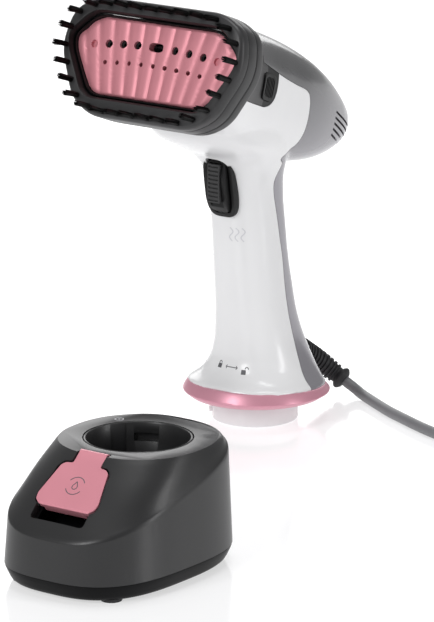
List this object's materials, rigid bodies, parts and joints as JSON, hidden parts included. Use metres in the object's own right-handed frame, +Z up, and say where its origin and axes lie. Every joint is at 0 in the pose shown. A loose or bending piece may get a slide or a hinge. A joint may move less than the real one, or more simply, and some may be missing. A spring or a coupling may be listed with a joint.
{
  "type": "handheld garment steamer",
  "caption": "Handheld garment steamer with a bristled brush head, pistol grip and trigger, standing by its detachable water tank with docking socket and filler flap.",
  "frame": {"origin": "floor point under the middle of the footprint of tank and handset, without the cord", "axes": "+Z up, both pieces face -Y"},
  "size_m": [0.2685, 0.4367, 0.2557],
  "materials": {
    "tank_grey": "satin moulded",
    "base_black": "fine-grained",
    "satin_pink": "pearl satin",
    "plate_metal": "ceramic-coated",
    "gloss_white": "gloss",
    "cover_grey": "pearl grey",
    "frame_grey": "satin moulded",
    "soft_black": "soft touch",
    "rubber": "matt",
    "cord_sheath": "smooth sheath",
    "inner_plastic": "moulded",
    "silicone": "matt",
    "cast_metal": "as cast",
    "steel": "drawn",
    "board_green": "board"
  },
  "bodies": {
    "tank": {"tank_shell": "tank_grey", "tank_base_tray": "base_black", "foot_pad_1": "rubber", "foot_pad_2": "rubber", "foot_pad_3": "rubber", "foot_pad_4": "rubber", "docking_socket": "tank_grey", "valve_cage": "inner_plastic", "valve_spring": "steel", "filler_well": "base_black", "flap_hinge_pin": "steel", "base_screw_1": "steel", "base_screw_2": "steel", "base_screw_3": "steel", "cord_coil": "cord_sheath", "cord_tie": "soft_black", "cord_tail": "cord_sheath", "mains_plug": "cord_sheath", "cord_run": "cord_sheath"},
    "handset": {"front_casing": "gloss_white", "rear_cover": "cover_grey", "head_housing": "frame_grey", "soleplate": "plate_metal", "plate_surround": "soft_black", "steam_chamber": "cast_metal", "chamber_gasket": "silicone", "heating_element": "steel", "thermostat": "inner_plastic", "thermal_fuse": "steel", "trigger_surround": "soft_black", "trigger_pin": "steel", "trigger_spring": "steel", "base_ring": "satin_pink", "docking_spigot": "gloss_white", "spigot_o_ring": "rubber", "water_inlet": "inner_plastic", "pump": "inner_plastic", "pump_bracket": "inner_plastic", "pressure_hose": "silicone", "suction_hose": "silicone", "microswitch": "base_black", "circuit_board": "board_green", "cord_clamp": "inner_plastic", "casing_screw_1": "steel", "casing_screw_2": "steel", "strain_relief": "rubber"},
    "filler_flap": {"filler_flap": "satin_pink", "flap_gasket": "silicone"},
    "outlet_valve": {"valve_poppet": "inner_plastic", "valve_seal": "silicone"},
    "trigger": {"trigger": "soft_black"},
    "trigger_lock": {"trigger_lock": "frame_grey"},
    "brush": {"brush_frame": "frame_grey"},
    "latch_left": {"latch_button_left": "soft_black"},
    "latch_right": {"latch_button_right": "soft_black"}
  },
  "joints": [
    {"name": "handset_lift", "type": "slide", "parent": "tank", "child": "handset", "axis": [0, 0, 1], "range_m": [0, 0.1]},
    {"name": "flap_hinge", "type": "hinge", "parent": "tank", "child": "filler_flap", "pos_m": [0.0591, -0.16445, 0.0651], "axis": [-1, 0, 0], "range_deg": [0, 100]},
    {"name": "valve_press", "type": "slide", "parent": "tank", "child": "outlet_valve", "axis": [0, 0, -1], "range_m": [0, 0.003], "stiffness_N_per_m": 500, "springref_m": -0.002, "deforming": ["valve_spring"]},
    {"name": "trigger_press", "type": "hinge", "parent": "handset", "child": "trigger", "pos_m": [-0.0459, 0.0913, 0.1525], "axis": [1, 0, 0], "range_deg": [0, 8], "stiffness_Nm_per_rad": 0.5, "springref_deg": -5.73},
    {"name": "trigger_lock_slide", "type": "slide", "parent": "trigger", "child": "trigger_lock", "axis": [0, 0, -1], "range_m": [0, 0.0045]},
    {"name": "brush_removal", "type": "slide", "parent": "handset", "child": "brush", "axis": [0, -0.9397, 0.342], "range_m": [0, 0.03]},
    {"name": "latch_left_press", "type": "slide", "parent": "handset", "child": "latch_left", "axis": [1, 0, 0], "range_m": [0, 0.0015], "stiffness_N_per_m": 1000, "springref_m": -0.001},
    {"name": "latch_right_press", "type": "slide", "parent": "handset", "child": "latch_right", "axis": [-1, 0, 0], "range_m": [0, 0.0015], "stiffness_N_per_m": 1000, "springref_m": -0.001}
  ]
}
